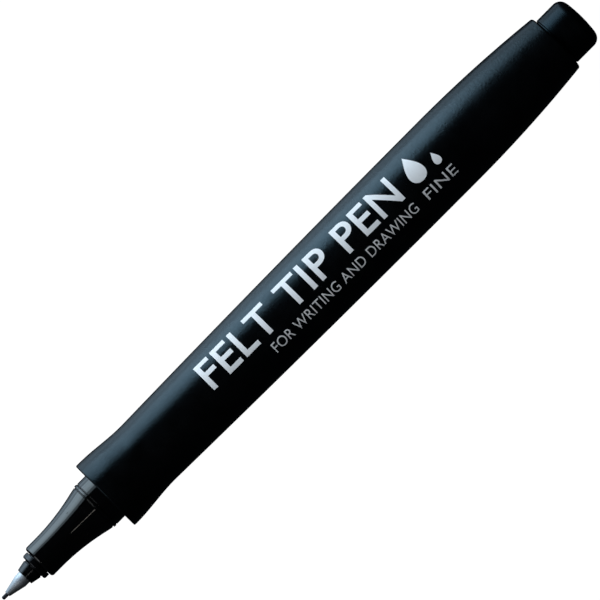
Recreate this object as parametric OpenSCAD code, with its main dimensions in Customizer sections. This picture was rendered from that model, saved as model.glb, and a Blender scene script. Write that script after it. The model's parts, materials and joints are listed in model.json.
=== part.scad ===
// Fine felt tip marker without its cap, lying on its side.
// Stations are distances in millimetres along the axis, measured from the point of the nib.
// Every piece is drawn upright with its stations along Z, then laid down by lay().

/* [Barrel] */
// Station of the barrel's front face
barrel_front = 21.75; // [21.5:0.05:22.5]
// Length of the barrel
barrel_len = 95.95; // [92:0.05:99]
// Diameter at the fattest place
swell_d = 12.68; // [12.3:0.02:13.2]
// Station of the fattest place
swell_at = 95; // [90:1:100]
// How much the body line has dropped at the front face, in radius
front_drop = 0.81; // [0.6:0.01:0.95]
// How much the body line has dropped at the rear rim, in radius
tail_drop = 1.21; // [1.0:0.01:1.25]
// Height of the flare that stops the fingers, in radius
flare_h = 0.73; // [0.4:0.01:0.9]
// Length of the flare
flare_len = 9.55; // [7:0.05:11]
// Edge radius of the front rim
front_edge = 0.2; // [0.1:0.05:0.3]
// Edge radius of the rear rim
rear_edge = 0.35; // [0.2:0.05:0.45]
// Number of moulded ribs that centre the ink reservoir
rib_count = 6; // [4:1:8]

/* [Front section] */
// Station of the section's front end
section_front = 7.6; // [7.5:0.05:7.8]
// Diameter of the slim front part
section_slim_d = 5.82; // [5.6:0.02:6.0]
// Station where the section begins to flare
section_flare_at = 9.7; // [9.2:0.1:10.5]
// Diameter at the end of the flare
section_flare_d = 8.5; // [8.3:0.02:8.52]
// Diameter of the bead that the cap seals on
bead_d = 8.56; // [8.5:0.02:8.6]
// Length of the section's tail inside the barrel
tail_len = 13.2; // [11:0.1:13.2]

/* [Tip holder] */
// Station of the holder's nose
nose_front = 4.65; // [4.4:0.05:4.8]
// Diameter of the nose's lip
nose_d = 2.9; // [2.7:0.05:3.1]
// Diameter where the nose meets the collar
nose_root_d = 3.5; // [3.3:0.05:3.8]
// Diameter of the collar
collar_d = 4.7; // [4.3:0.05:5.0]
// Length of the collar
collar_len = 1; // [0.7:0.05:1.05]

/* [Sleeve and nib] */
// Length of bare nib in front of the sleeve
nib_bare = 1; // [0.7:0.05:1.2]
// Diameter of the nib's writing point
nib_d = 0.62; // [0.5:0.02:0.64]
// Diameter of the sleeve's mouth
sleeve_mouth_d = 0.96; // [0.9:0.02:1.2]
// Diameter of the sleeve's tube
sleeve_d = 2.2; // [2.1:0.02:2.3]

/* [Ink system] */
// Diameter of the wick that feeds the nib
wick_d = 2; // [1.8:0.05:2]
// Length of wick inside the reservoir
wick_in_reservoir = 7.7; // [4:0.1:10]
// Diameter of the wrapped reservoir
reservoir_d = 7.7; // [7.4:0.05:7.75]
// Thickness of the reservoir's film wrap
film_t = 0.07; // [0.05:0.01:0.1]
// Outer diameter of the breather tube
breather_d = 0.9; // [0.7:0.05:1]

/* [End plug] */
// Diameter of the plug's head, which a cap can be posted on
plug_d = 8.74; // [8.6:0.02:8.76]
// How far the plug stands out of the barrel
plug_out = 5.5; // [5:0.05:6.5]
// Radius of the head's rounded edge
plug_edge = 1.5; // [1:0.05:1.8]
// Rise of the domed end face
plug_dome = 0.2; // [0.1:0.05:0.3]
// Depth of the plug's spigot inside the barrel
spigot_len = 7.1; // [6:0.1:7.1]

/* [Fits] */
// Radial clearance of a seal ring in its socket
ring_gap = 0.015; // [0.01:0.005:0.03]
// How far the seal rings stand out, in radius
ring_h = 0.045; // [0.03:0.005:0.06]
// Radial clearance of the wick in its bores
wick_gap = 0.03; // [0.02:0.01:0.05]
// Gap left between parts that stop against each other
stop_gap = 0.02; // [0.01:0.01:0.05]

/* [Hidden] */
$fn = 96;

steps = 8;                                    // pieces in each rounded edge
over = 1;                                     // how far cutting shapes run past what they cut
bite = 0.2;                                   // how far a rib or fin enters the wall that carries it
line_step = 1.6;                              // spacing of stations along the barrel's long curve
lead_in = 0.2;                                // chamfer on each end that enters a socket
draft = 0.01;                                 // how much a plug narrows over its length, in radius
barrel_back = barrel_front + barrel_len;
total_len = barrel_back + plug_out;
swell_r = swell_d / 2;

bead_step = 0.02;                             // how far the bead stands out past the front socket
socket_r = bead_d / 2 - bead_step;            // front socket, which the section's tail enters
socket_len = tail_len + stop_gap;
stop_len = 1.2;                               // web between the two cores of the mould
stop_r = 3.2;
chamber_at = barrel_front + socket_len + stop_len;
chamber_r = 4.1;
head_step = 0.03;                             // how far the plug's head stays inside the rear socket
rear_socket_r = plug_d / 2 + head_step;
rear_socket_len = spigot_len + stop_gap;
mouth_chamfer = 0.15;                         // chamfer at the mouth of each socket
rib_w = 0.6;
rib_gap = 0.05;                               // radial clearance of the reservoir between the ribs
rib_r = reservoir_d / 2 + rib_gap;
rib_back = barrel_back - rear_socket_len - 4;
rib_turn = 10;                                // turn of the ribs about the axis

section_slim_r = section_slim_d / 2;
section_flare_r = section_flare_d / 2;
section_edge = 0.3;
bead_at = 19.45;
bead_len = 0.45;
bead_groove = 0.2;
bead_groove_depth = 0.14;
land_gap = 0.03;                              // radial clearance of the land in the barrel
seat_r = socket_r - land_gap;                 // plain land behind the bead, running into the barrel
seat_back = barrel_front + 1;
tail_r = socket_r - ring_gap - ring_h;
tail_ring_r = socket_r - ring_gap;
tail_back = barrel_front + tail_len;
tail_rings = [26, 31.2];
ring_len = 1;
ring_slope = 0.2;
cavity_at = 16;
cavity_r = 3.3;
guide_r = 1.9;
guide_back = 30;
guide_bore_r = wick_d / 2 + wick_gap + 0.02;
fin_t = 0.6;
fin_len = guide_back - cavity_at - 4;
vent_w = 0.8;
vent_depth = 0.25;
vent_at = 23.5;

collar_gap = 0.06;                            // gap between the collar and the section
collar_at = section_front - collar_len - collar_gap;
holder_tail_r = 1.9;
holder_back = 14;
holder_bevel = 0.3;
nose_edge = 0.12;
nose_groove = 0.25;
nose_groove_depth = 0.1;

sleeve_r = sleeve_d / 2;
sleeve_shoulder_at = 3.5;
sleeve_shoulder_len = 0.4;
sleeve_edge = 0.06;                           // edge radius of the mouth, and rise of the shoulder
sleeve_back = 11.5;
sleeve_wall = 0.25;
sleeve_bore_at = 3.6;
sleeve_lip = 0.5;
nib_gap = 0.015;
nib_flat_r = 0.06;                            // flat that writing wears on the point
nib_dome_back = 0.6;
nib_cone_at = 1.65;
nib_cone_back = 3.75;
nib_back = 12.2;

end_gap = 0.1;                                // gap at each end of the reservoir
reservoir_at = chamber_at + end_gap;
reservoir_back = 109.5;
core_r = reservoir_d / 2 - film_t;
wick_r = wick_d / 2;
wick_back = reservoir_at + wick_in_reservoir;
wick_point_r = 0.35;
wick_point_len = 1.2;
breather_wall = 0.15;
breather_gap = 0.02;
breather_off = core_r - breather_d / 2;

plug_r = plug_d / 2;
spigot_at = barrel_back - spigot_len;
spigot_r = rear_socket_r - ring_gap - ring_h;
spigot_ring_r = rear_socket_r - ring_gap;
spigot_rings = [spigot_at + 1.6, spigot_at + 4.4];
plug_neck_depth = 0.18;                       // shadow groove between the barrel and the head
plug_neck_len = 0.3;
neck_slope = 0.1;
plug_hollow_r = 3.2;
plug_hollow_back = total_len - 2.2;
cross_t = 0.8;
cross_at = reservoir_back + end_gap;
cross_step = 0.8;                             // how far the cross narrows in front of the spigot

// Points of a circular arc in the profile plane, where x is the radius and y the station.
function arc(centre, r, from, to) = [
    for (i = [0:steps])
        let (a = from + (to - from) * i / steps)
        [centre.x + r * cos(a), centre.y + r * sin(a)]
];

// Radius of the barrel's outer line: a long shallow bow, fuller towards the tail,
// plus a cosine flare at the front.
function bow(s) =
    s < swell_at
        ? swell_r - front_drop * pow((swell_at - s) / (swell_at - barrel_front), 2)
        : swell_r - tail_drop * pow((s - swell_at) / (barrel_back - swell_at), 2);
function flare(s) =
    s < barrel_front + flare_len
        ? flare_h / 2 * (1 + cos(180 * (s - barrel_front) / flare_len))
        : 0;
function barrel_r(s) = bow(s) + flare(s);

// Radius of the section's outer line: slim, then a parabolic flare up to the bead.
function section_r(s) =
    s < section_flare_at
        ? section_slim_r
        : section_slim_r + (section_flare_r - section_slim_r)
            * pow((s - section_flare_at) / (bead_at - section_flare_at), 2);

// Radii of the two moulded plugs, which narrow slightly towards the end that enters the barrel.
function tail_line(s) = tail_r - draft * (s - barrel_front) / tail_len;
function spigot_line(s) = spigot_r - draft * (barrel_back - s) / spigot_len;

// Revolves a closed profile of [radius, station] points.
module lathe(profile) {
    rotate_extrude(convexity = 6)
        polygon(profile);
}

// Lays a piece drawn along Z down on the ground, nib towards -X, centred on the origin.
module lay() {
    translate([-total_len / 2, 0, swell_r])
        rotate([0, 90, 0])
            children();
}

// Outer moulding: flared at the fingers, bowed, with a socket at each end,
// a stop web behind the front socket and ribs that centre the reservoir.
module barrel() {
    tail_slope = atan(2 * tail_drop / (barrel_back - swell_at));
    rear_at = barrel_back - rear_edge * (1 - sin(tail_slope));
    outer = concat(
        arc([barrel_r(barrel_front + front_edge) - front_edge, barrel_front + front_edge],
            front_edge, -90, 0),
        [for (s = [barrel_front + 1 : line_step / 2 : barrel_front + flare_len]) [barrel_r(s), s]],
        [for (s = [barrel_front + flare_len + 1 : line_step : rear_at - 1]) [barrel_r(s), s]],
        arc([barrel_r(rear_at) - rear_edge * cos(tail_slope), barrel_back - rear_edge],
            rear_edge, tail_slope, 90)
    );
    inner = [
        [rear_socket_r + mouth_chamfer, barrel_back],
        [rear_socket_r, barrel_back - mouth_chamfer],
        [rear_socket_r, barrel_back - rear_socket_len],
        [chamber_r, barrel_back - rear_socket_len],
        [chamber_r, chamber_at],
        [stop_r, chamber_at],
        [stop_r, chamber_at - stop_len],
        [socket_r, chamber_at - stop_len],
        [socket_r, barrel_front + mouth_chamfer],
        [socket_r + mouth_chamfer, barrel_front]
    ];
    color([0.10, 0.11, 0.12]) lay() rotate([0, 0, rib_turn]) {
        lathe(concat(outer, inner));
        for (i = [0 : rib_count - 1])
            rotate([0, 0, 360 * (i + 0.5) / rib_count])
                translate([rib_r, -rib_w / 2, chamber_at])
                    cube([chamber_r - rib_r + bite, rib_w, rib_back - chamber_at]);
    }
}

// Black glossy grip nose: slim front, concave flare, sealing bead and a hollow tail
// with two seal rings, four vent slots and finned wick guide.
module front_section() {
    outer = concat(
        [[holder_tail_r, section_front]],
        arc([section_slim_r - section_edge, section_front + section_edge], section_edge, -90, 0),
        [for (s = [section_flare_at : 0.5 : bead_at - bead_groove]) [section_r(s), s]],
        [
            [section_r(bead_at - bead_groove), bead_at - bead_groove],
            [section_flare_r - bead_groove_depth, bead_at - bead_groove / 2],
            [bead_d / 2, bead_at],
            [bead_d / 2, bead_at + bead_len],
            [seat_r - bead_groove_depth / 2, bead_at + bead_len + bead_groove / 2],
            [seat_r, bead_at + bead_len + bead_groove],
            [seat_r - draft, seat_back],
            [tail_line(seat_back + ring_slope), seat_back + ring_slope]
        ],
        [
            for (at = tail_rings)
                each [
                    [tail_line(at), at],
                    [tail_ring_r, at + ring_slope],
                    [tail_ring_r, at + ring_len - ring_slope],
                    [tail_line(at + ring_len), at + ring_len]
                ]
        ],
        [
            [tail_line(tail_back - lead_in), tail_back - lead_in],
            [tail_line(tail_back) - lead_in, tail_back]
        ]
    );
    inner = [
        [cavity_r, tail_back],
        [cavity_r, cavity_at],
        [guide_r, cavity_at],
        [guide_r, guide_back],
        [guide_bore_r, guide_back],
        [guide_bore_r, holder_back],
        [holder_tail_r, holder_back]
    ];
    color([0.06, 0.06, 0.07]) lay() difference() {
        union() {
            lathe(concat(outer, inner));
            for (i = [0:3])
                rotate([0, 0, 45 + 90 * i])
                    translate([guide_r - bite, -fin_t / 2, cavity_at - bite])
                        cube([cavity_r - guide_r + 2 * bite, fin_t, fin_len]);
        }
        for (i = [0:3])
            rotate([0, 0, 90 * i])
                translate([tail_ring_r - vent_depth, -vent_w / 2, vent_at])
                    cube([over, vent_w, tail_back]);
    }
}

// Stepped nose that is pressed into the section and holds the metal sleeve.
module tip_holder() {
    nose_r = nose_d / 2;
    nose_root_r = nose_root_d / 2;
    collar_r = collar_d / 2;
    outer = concat(
        [[sleeve_r, nose_front]],
        arc([nose_r - nose_edge, nose_front + nose_edge], nose_edge, -90, 0),
        [
            [nose_root_r, collar_at - nose_groove],
            [nose_root_r - nose_groove_depth, collar_at - nose_groove / 2],
            [nose_root_r, collar_at]
        ],
        arc([collar_r - nose_edge, collar_at + nose_edge], nose_edge, -90, 0),
        arc([collar_r - nose_edge, collar_at + collar_len - nose_edge], nose_edge, 0, 90),
        [
            [holder_tail_r, collar_at + collar_len],
            [holder_tail_r, holder_back - holder_bevel],
            [holder_tail_r - holder_bevel, holder_back]
        ]
    );
    inner = [
        [wick_r + wick_gap, holder_back],
        [wick_r + wick_gap, sleeve_back],
        [sleeve_r, sleeve_back]
    ];
    color([0.07, 0.07, 0.08]) lay() lathe(concat(outer, inner));
}

// Drawn metal tube with a conical nose that clads the nib.
module metal_sleeve() {
    mouth_r = nib_d / 2 + nib_gap;
    bore_r = sleeve_r - sleeve_wall;
    color([0.80, 0.82, 0.84]) lay() lathe(concat(
        arc([sleeve_mouth_d / 2 - sleeve_edge, nib_bare + sleeve_edge], sleeve_edge, -90, 0),
        [
            [sleeve_r - sleeve_edge, sleeve_shoulder_at],
            [sleeve_r, sleeve_shoulder_at + sleeve_shoulder_len],
            [sleeve_r, sleeve_back],
            [bore_r, sleeve_back],
            [bore_r, sleeve_bore_at],
            [mouth_r, nib_bare + sleeve_lip],
            [mouth_r, nib_bare]
        ]
    ));
}

// Hard porous nib: domed writing point, cone and a rod that reaches back to the wick.
module nib() {
    point_r = nib_d / 2;
    dome_r = point_r - nib_flat_r;
    rod_r = sleeve_r - sleeve_wall - nib_gap;
    color([0.03, 0.03, 0.03]) lay() lathe(concat(
        [[0, 0]],
        arc([nib_flat_r, dome_r], dome_r, -90, 0),
        [
            [point_r, nib_dome_back],
            [point_r, nib_cone_at],
            [rod_r, nib_cone_back],
            [rod_r, nib_back],
            [0, nib_back]
        ]
    ));
}

// Bonded fibre rod that carries ink from the reservoir to the nib.
module wick() {
    color([0.16, 0.17, 0.20]) lay() lathe([
        [0, nib_back],
        [wick_r, nib_back],
        [wick_r, wick_back - wick_point_len],
        [wick_point_r, wick_back],
        [0, wick_back]
    ]);
}

// Bonded fibre reservoir with a socket for the wick and a groove for the breather tube.
module reservoir_core() {
    groove_r = breather_d / 2 + breather_gap;
    core_len = reservoir_back - reservoir_at;
    color([0.24, 0.25, 0.29]) lay() difference() {
        translate([0, 0, reservoir_at])
            cylinder(r = core_r, h = core_len);
        translate([0, 0, reservoir_at - over])
            cylinder(r = wick_r + wick_gap, h = wick_in_reservoir + over + end_gap);
        translate([-breather_off, 0, reservoir_at - over]) {
            cylinder(r = groove_r, h = core_len + 2 * over);
            translate([-groove_r - over, -groove_r, 0])
                cube([groove_r + over, 2 * groove_r, core_len + 2 * over]);
        }
    }
}

// Film wrapped round the reservoir.
module reservoir_film() {
    color([0.85, 0.87, 0.90]) lay() lathe([
        [core_r, reservoir_at],
        [reservoir_d / 2, reservoir_at],
        [reservoir_d / 2, reservoir_back],
        [core_r, reservoir_back]
    ]);
}

// Thin straw between film and core that lets air into the reservoir.
module breather_tube() {
    color([0.90, 0.91, 0.92]) lay()
        translate([-breather_off, 0, reservoir_at])
            difference() {
                cylinder(d = breather_d, h = reservoir_back - reservoir_at);
                translate([0, 0, -over])
                    cylinder(r = breather_d / 2 - breather_wall, h = reservoir_back - reservoir_at + 2 * over);
            }
}

// Hollow plug that closes the barrel: domed head, shadow groove, ringed spigot
// and an inner cross that keeps the reservoir from sliding back.
module end_plug() {
    dome_r = plug_r - plug_edge;
    edge_at = total_len - plug_dome - plug_edge;
    dome_curve = (dome_r * dome_r + plug_dome * plug_dome) / (2 * plug_dome);
    dome_angle = asin(dome_r / dome_curve);
    outer = concat(
        [
            [plug_hollow_r, spigot_at],
            [spigot_line(spigot_at) - lead_in, spigot_at],
            [spigot_line(spigot_at + lead_in), spigot_at + lead_in]
        ],
        [
            for (at = spigot_rings)
                each [
                    [spigot_line(at), at],
                    [spigot_ring_r, at + ring_slope],
                    [spigot_ring_r, at + ring_len - ring_slope],
                    [spigot_line(at + ring_len), at + ring_len]
                ]
        ],
        [
            [spigot_r, barrel_back - neck_slope],
            [plug_r - plug_neck_depth, barrel_back],
            [plug_r - plug_neck_depth, barrel_back + plug_neck_len - neck_slope],
            [plug_r, barrel_back + plug_neck_len]
        ],
        arc([dome_r, edge_at], plug_edge, 0, 90),
        [
            for (i = [1:steps])
                let (a = dome_angle * (1 - i / steps))
                [dome_curve * sin(a), total_len - dome_curve * (1 - cos(a))]
        ],
        [[0, plug_hollow_back], [plug_hollow_r, plug_hollow_back]]
    );
    color([0.09, 0.10, 0.11]) lay() {
        lathe(outer);
        for (i = [0:1])
            rotate([0, 0, 90 * i])
                translate([-plug_hollow_r - bite, -cross_t / 2, spigot_at])
                    cube([2 * (plug_hollow_r + bite), cross_t, plug_hollow_back - spigot_at + bite]);
        for (i = [0:1])
            rotate([0, 0, 90 * i])
                translate([-plug_hollow_r + cross_step, -cross_t / 2, cross_at])
                    cube([2 * (plug_hollow_r - cross_step), cross_t, spigot_at - cross_at + bite]);
    }
}

barrel();
front_section();
tip_holder();
metal_sleeve();
nib();
wick();
reservoir_core();
reservoir_film();
breather_tube();
end_plug();
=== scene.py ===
"""Looks for a fine felt tip marker lying on its side without its cap.

Nearly every piece is a profile turned about the marker's axis, which runs along X from the nib to the
end plug. A profile is a list of (x, r) points, where r is the distance from that axis, in metres. Ribs,
fins and the plug's cross are flat blades, and the print is flat letters bent round the barrel.
"""

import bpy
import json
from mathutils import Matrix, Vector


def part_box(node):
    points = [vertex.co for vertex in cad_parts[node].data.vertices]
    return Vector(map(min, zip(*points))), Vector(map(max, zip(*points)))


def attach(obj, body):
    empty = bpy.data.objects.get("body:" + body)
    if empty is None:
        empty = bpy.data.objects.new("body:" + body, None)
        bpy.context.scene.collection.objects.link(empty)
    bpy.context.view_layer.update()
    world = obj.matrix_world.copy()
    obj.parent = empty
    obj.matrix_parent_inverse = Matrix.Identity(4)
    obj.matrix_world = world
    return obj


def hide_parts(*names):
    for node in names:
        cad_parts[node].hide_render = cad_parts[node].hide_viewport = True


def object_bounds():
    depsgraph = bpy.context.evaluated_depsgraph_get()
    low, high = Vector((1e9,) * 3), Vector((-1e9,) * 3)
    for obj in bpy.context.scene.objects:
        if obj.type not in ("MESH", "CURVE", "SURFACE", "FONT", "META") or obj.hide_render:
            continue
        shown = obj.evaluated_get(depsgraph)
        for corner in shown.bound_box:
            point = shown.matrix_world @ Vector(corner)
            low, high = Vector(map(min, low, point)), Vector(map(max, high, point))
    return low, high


bl_info = {
    "name": "Felt Tip Marker",
    "version": (1, 0, 0),
    "blender": (4, 5, 0),
    "location": "View3D > Sidebar > Marker",
    "description": "Builds the pieces, print and finishes of a felt tip marker around its packed frame",
    "category": "Add Mesh",
}

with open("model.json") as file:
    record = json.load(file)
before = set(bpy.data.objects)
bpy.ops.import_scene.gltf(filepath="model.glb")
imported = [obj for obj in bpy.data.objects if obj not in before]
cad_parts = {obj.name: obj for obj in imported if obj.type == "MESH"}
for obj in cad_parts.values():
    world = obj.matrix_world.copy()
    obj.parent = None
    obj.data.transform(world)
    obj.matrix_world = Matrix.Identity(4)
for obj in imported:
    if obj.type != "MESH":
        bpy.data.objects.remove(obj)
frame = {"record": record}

import json
import math

import bmesh
import bpy
import numpy as np
from bpy.props import FloatProperty, FloatVectorProperty, IntProperty, PointerProperty, StringProperty
from bpy.types import Operator, Panel, PropertyGroup
from mathutils import Matrix, Vector

CAD_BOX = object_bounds()

# The marker rests on its fattest part, so its axis lies halfway up its box.
AXIS_Z = (CAD_BOX[0].z + CAD_BOX[1].z) / 2

SLOT_COLOURS = {row["slot"]: row["base_color"][:3] for row in frame["record"]["materials"]}
FULL_TURN = 2 * math.pi

# Past the first angle a profile's turn gets points beside it, and past the second an edge is drawn sharp.
CORNER_ANGLE = math.radians(4)
SHARP_ANGLE = math.radians(32)

# How deep a blade is rooted in the wall that carries it, and the width of the small chamfers.
BLADE_ROOT = 0.0002
SMALL_CHAMFER = 0.0002

# Points along the barrel's line, and along the shorter curves.
BARREL_ROWS = 220
CURVE_ROWS = 60

# Sockets of a Mix node that mixes colours.
MIX_FACTOR = 0
MIX_FIRST = 6
MIX_SECOND = 7
MIX_RESULT = 2


def reach(node):
    """Ends of a node along the axis, and its largest radius about its own middle."""
    low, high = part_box(node)
    return low.x, high.x, (high.z - low.z) / 2


def lift_of(node):
    """How far a node's middle lies above the marker's axis."""
    low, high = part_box(node)
    return (low.z + high.z) / 2 - AXIS_Z


# Settings

def length(name, description, default):
    """A size in metres."""
    return FloatProperty(name=name, description=description, default=default, unit="LENGTH", precision=5)


def number(name, description, default):
    """A plain number."""
    return FloatProperty(name=name, description=description, default=default)


def degrees(name, description, default):
    """An angle, given in degrees and kept in radians."""
    return FloatProperty(
        name=name, description=description, default=math.radians(default), subtype="ANGLE"
    )


def share(name, description, default):
    """A number from 0 to 1."""
    return FloatProperty(
        name=name, description=description, default=default, min=0, max=1, subtype="FACTOR"
    )


def colour(name, description, slot):
    """A colour that starts as the record's colour for that slot."""
    return FloatVectorProperty(
        name=name, description=description, default=SLOT_COLOURS[slot], subtype="COLOR", size=3, min=0, max=1
    )


class BarrelShape(PropertyGroup):
    """Sizes of the barrel"""

    swell_from_front: length("Fattest place", "Distance of the fattest place from the front face", 0.07325)
    front_drop: length("Front drop", "How far the body line has dropped at the front face", 0.00081)
    tail_drop: length("Tail drop", "How far the body line has dropped at the rear rim", 0.00121)
    flare_height: length("Flare height", "Height of the flare that stops the fingers", 0.00073)
    flare_length: length("Flare length", "Length of the flare", 0.00955)
    front_edge: length("Front edge", "Radius of the front rim's edge", 0.0002)
    rear_edge: length("Rear edge", "Radius of the rear rim's edge", 0.00035)
    front_socket: length("Front socket", "Radius of the socket for the front section", 0.00426)
    rear_socket: length("Rear socket", "Radius of the socket for the end plug", 0.0044)
    rear_socket_depth: length("Rear socket depth", "Depth of the socket for the end plug", 0.00712)
    stop_radius: length("Stop radius", "Inner radius of the stop web behind the front socket", 0.0032)
    stop_length: length("Stop length", "Thickness of the stop web", 0.0012)
    stop_gap: length("Stop gap", "Gap between the section's tail and the stop web", 0.00002)
    chamber: length("Chamber", "Radius of the ink chamber", 0.0041)
    mouth_chamfer: length("Mouth chamfer", "Chamfer at the mouth of each socket", 0.00015)
    rib_thickness: length("Rib thickness", "Thickness of the ribs that centre the reservoir", 0.0006)
    rib_inner: length("Rib inner radius", "Radius of the inner edges of the ribs", 0.0039)
    rib_gap: length("Rib gap", "Distance from the ribs' rear ends to the plug's socket", 0.004)
    ribs: IntProperty(
        name="Ribs", description="Number of ribs inside the barrel", default=6, min=0, max=12
    )
    rib_turn: degrees("Rib turn", "Turn of the ribs round the axis", 10)
    ink_room: length("Ink room", "How much slimmer the body is than the outline of its print", 0.000012)


class SectionShape(PropertyGroup):
    """Sizes of the front section"""

    slim_radius: length("Slim radius", "Radius of the slim front part", 0.00291)
    slim_length: length("Slim length", "Length of the slim front part", 0.0021)
    flare_radius: length("Flare radius", "Radius at the wide end of the flare", 0.00425)
    flare_ease: number("Flare ease", "How much the flare levels off before the bead", 3)
    level_from: share("Level from", "Part of the flare's length after which it levels off", 0.85)
    front_edge: length("Front edge", "Radius of the front edge", 0.00045)
    bead_length: length("Bead length", "Length of the bead that the cap seals on", 0.00045)
    bead_from_rim: length("Bead place", "Distance from the front of the bead to the barrel's face", 0.0023)
    bead_edge: length("Bead edge", "Radius of the bead's edges", 0.00009)
    groove: length("Groove", "Width of the fine grooves beside the bead", 0.0002)
    land_radius: length("Land radius", "Radius of the plain part that runs into the barrel", 0.00423)
    land_depth: length("Land depth", "How far the plain part runs into the barrel", 0.001)
    tail_radius: length("Tail radius", "Radius of the tail inside the barrel", 0.0042)
    ring_radius: length("Ring radius", "Radius of the tail's seal rings", 0.004245)
    ring_length: length("Ring length", "Length of each seal ring", 0.001)
    first_ring: length("First ring", "Distance of the first ring behind the barrel's face", 0.00425)
    second_ring: length("Second ring", "Distance of the second ring behind the barrel's face", 0.00945)
    cavity: length("Cavity", "Inner radius of the hollow tail", 0.0033)
    web: length("Web", "Thickness of the solid web behind the tip holder", 0.002)
    guide_radius: length("Guide radius", "Outer radius of the wick guide", 0.0019)
    guide_gap: length("Guide gap", "Distance from the guide's rear end to the tail's", 0.00495)
    wick_room: length("Wick room", "Gap between the wick and its guide", 0.00005)
    fin_gap: length("Fin gap", "Distance from the fins' rear ends to the guide's", 0.004)
    fin_thickness: length("Fin thickness", "Thickness of the fins that hold the guide", 0.0006)
    slot_from_rim: length("Slot place", "Distance of the vent slots behind the barrel's face", 0.00175)
    slot_width: length("Slot width", "Width of the vent slots in the tail", 0.0008)
    slot_depth: length("Slot depth", "Depth of the vent slots", 0.00025)


class PointShape(PropertyGroup):
    """Sizes of the tip holder, the metal sleeve and the nib"""

    lip: length("Lip radius", "Radius of the holder's front lip", 0.00145)
    nose_root: length("Nose root", "Radius where the holder's nose meets its collar", 0.00175)
    collar_length: length("Collar length", "Length of the holder's collar", 0.001)
    tail_radius: length("Holder tail", "Radius of the holder's tail inside the section", 0.0019)
    tail_length: length("Holder tail length", "Length of the holder's tail", 0.00646)
    tail_chamfer: length("Holder tail chamfer", "Chamfer at the end of the holder's tail", 0.0003)
    wick_room: length("Wick room", "Gap between the wick and the holder's bore", 0.00003)
    groove: length("Groove", "Width of the groove in front of the collar", 0.00025)
    edge: length("Edges", "Radius of the holder's edges", 0.00012)
    collar_edge: length("Collar edge", "Radius of the collar's front edge", 0.0003)
    mouth: length("Sleeve mouth", "Radius of the metal sleeve's mouth", 0.00048)
    mouth_edge: length("Mouth edge", "Radius of the mouth's rolled edge", 0.00006)
    mouth_bore: length("Mouth bore", "Length of the narrow bore behind the mouth", 0.0005)
    cone_length: length("Cone length", "Length of the metal sleeve's cone", 0.0025)
    shoulder_blend: length("Shoulder blend", "Length of the soft turn from cone to tube", 0.0004)
    shoulder_lag: length("Shoulder lag", "How far behind the outer cone the inner one ends", 0.0001)
    sleeve_wall: length("Sleeve wall", "Wall thickness of the metal sleeve", 0.00025)
    nib_radius: length("Nib radius", "Radius of the writing point", 0.00031)
    nib_room: length("Nib room", "Gap between the nib and the sleeve's mouth", 0.000015)
    nib_tip: length("Nib tip", "Radius of the small flat that writing wears on the point", 0.00006)
    nib_straight: length("Nib straight", "Length of the nib before its cone", 0.00165)
    nib_cone: length("Nib cone", "Length of the nib's cone", 0.0021)


class PlugShape(PropertyGroup):
    """Sizes of the end plug"""

    head_radius: length("Head radius", "Radius of the plug's head", 0.00437)
    head_edge: length("Head edge", "Radius of the head's rounded edge", 0.0015)
    dome: length("Dome", "Rise of the domed end face", 0.0002)
    neck_depth: length("Neck depth", "Depth of the shadow groove between barrel and head", 0.00018)
    neck_length: length("Neck length", "Length of the shadow groove", 0.0003)
    neck_slope: length("Neck slope", "Length of the slopes at the groove's ends", 0.0001)
    neck_edge: length("Neck edge", "Radius of the head's edge beside the groove", 0.00005)
    spigot_radius: length("Spigot radius", "Radius of the spigot inside the barrel", 0.00434)
    spigot_length: length("Spigot length", "Length of the spigot", 0.0071)
    ring_radius: length("Ring radius", "Radius of the spigot's rings", 0.004385)
    ring_length: length("Ring length", "Length of each ring", 0.001)
    first_ring: length("First ring", "Distance of the first ring behind the spigot's tip", 0.0016)
    second_ring: length("Second ring", "Distance of the second ring behind the spigot's tip", 0.0044)
    hollow: length("Hollow", "Inner radius of the plug", 0.0032)
    end_wall: length("End wall", "Thickness of the end face", 0.0022)
    cross: length("Cross", "Thickness of the inner cross", 0.0008)
    cross_inset: length("Cross inset", "How much narrower the cross is in front of the spigot", 0.0008)
    gate_radius: length("Gate mark", "Radius of the moulding mark in the middle of the end face", 0.0006)
    gate_depth: length("Gate depth", "Depth of the moulding mark", 0.00004)
    gate_width: length("Gate width", "Half the width of the moulding mark's ring", 0.00012)


class InkShape(PropertyGroup):
    """Sizes of the wick, the reservoir and the breather tube"""

    wick_tip: length("Wick tip", "Radius of the wick's pointed rear end", 0.00035)
    wick_point: length("Wick point", "Length of the wick's pointed rear end", 0.0012)
    socket_gap: length("Socket gap", "Gap between the wick and the reservoir's socket", 0.00003)
    tube_wall: length("Tube wall", "Wall thickness of the breather tube", 0.00015)
    tube_gap: length("Tube gap", "Gap between the breather tube and the reservoir's groove", 0.00002)


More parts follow.
